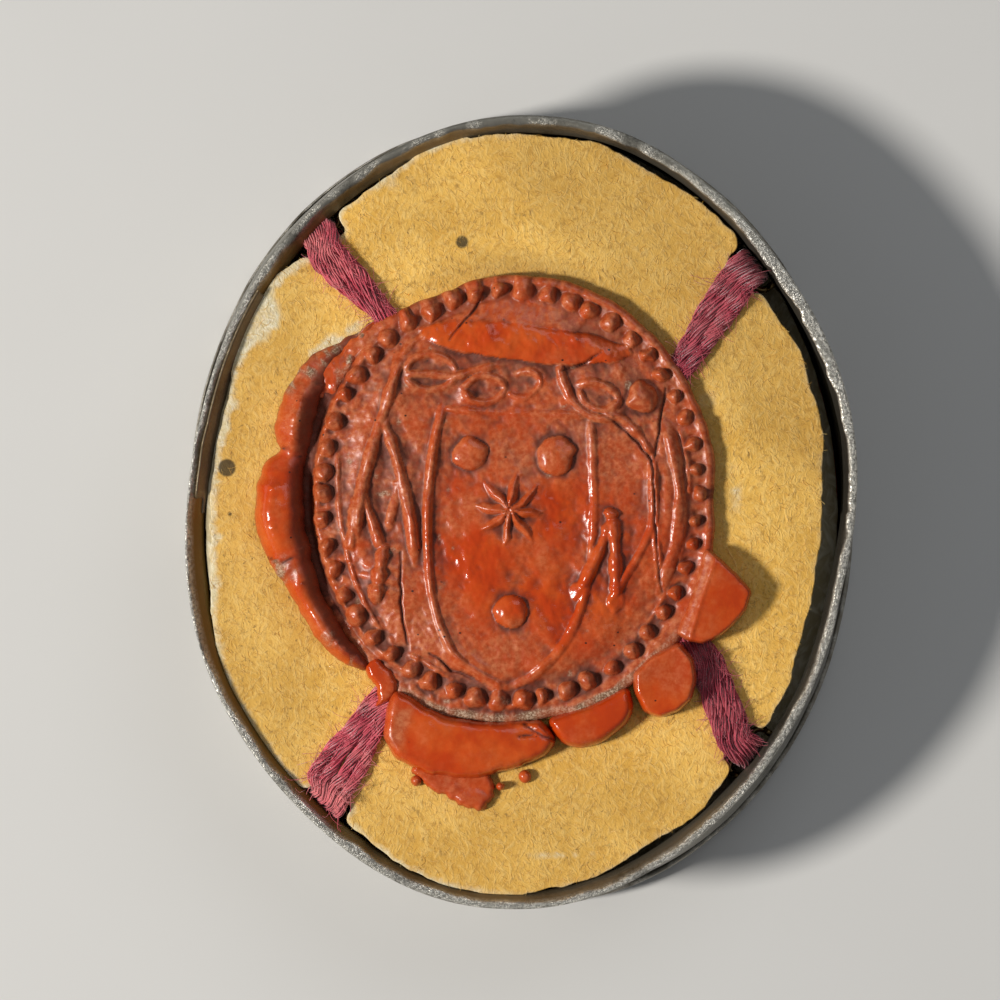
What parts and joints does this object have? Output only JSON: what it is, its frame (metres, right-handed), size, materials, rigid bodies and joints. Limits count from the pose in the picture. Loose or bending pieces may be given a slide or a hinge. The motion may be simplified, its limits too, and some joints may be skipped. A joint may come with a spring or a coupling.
{
  "type": "oval reliquary case",
  "caption": "Small oval sheet-metal case with a glazed front, a padded card packet and crimson silk threads locked under a wax seal at the open rear.",
  "frame": {"origin": "middle of the oval, in the plane of the front lip that the case rests on", "axes": "+Z out of the sealed rear, +Y along the long axis of the oval towards its top, +X across it to the right"},
  "size_m": [0.0336, 0.0397, 0.0097],
  "materials": {
    "case_metal": "dull, tarnished, hand-worked sheet metal",
    "eyelet_wire": "drawn wire, tarnished",
    "glass": "old flat glass, slightly worn",
    "white_card": "off-white rag card",
    "ochre_face": "ochre-yellow felted paper, dry and worn",
    "silk_thread": "crimson silk floss",
    "sealing_wax": "orange-red sealing wax, part glossy, part dusty",
    "cotton": "carded cotton",
    "silk_ground": "red silk, smooth weave",
    "bone": "dry, porous, aged",
    "gilt": "gilt wire, twisted",
    "blank_paper": "aged paper without lettering"
  },
  "bodies": {
    "root": {"case_wall": "case_metal", "wall_seam_strap": "case_metal", "front_bezel": "case_metal", "front_glass": "glass", "spacer_ring": "white_card", "gilt_border": "gilt", "silk_ground": "silk_ground", "relic_card": "white_card", "relic_fragment": "bone", "relic_tie": "silk_thread", "label_strip": "blank_paper", "cotton_padding": "cotton", "backing_card": "white_card", "ochre_face": "ochre_face", "eyelet_nw": "eyelet_wire", "eyelet_ne": "eyelet_wire", "eyelet_sw": "eyelet_wire", "eyelet_se": "eyelet_wire", "strand_over_1": "silk_thread", "strand_over_2": "silk_thread", "strand_over_3": "silk_thread", "strand_over_4": "silk_thread", "strand_under_1": "silk_thread", "strand_under_2": "silk_thread", "strand_under_3": "silk_thread", "strand_under_4": "silk_thread", "wax_seal": "sealing_wax", "wax_spill_left": "sealing_wax", "wax_pad_bottom": "sealing_wax", "wax_pad_lower_right": "sealing_wax", "wax_drop": "sealing_wax", "wax_flap_right": "sealing_wax", "wax_run": "sealing_wax", "wax_droplets": "sealing_wax"}
  },
  "joints": []
}
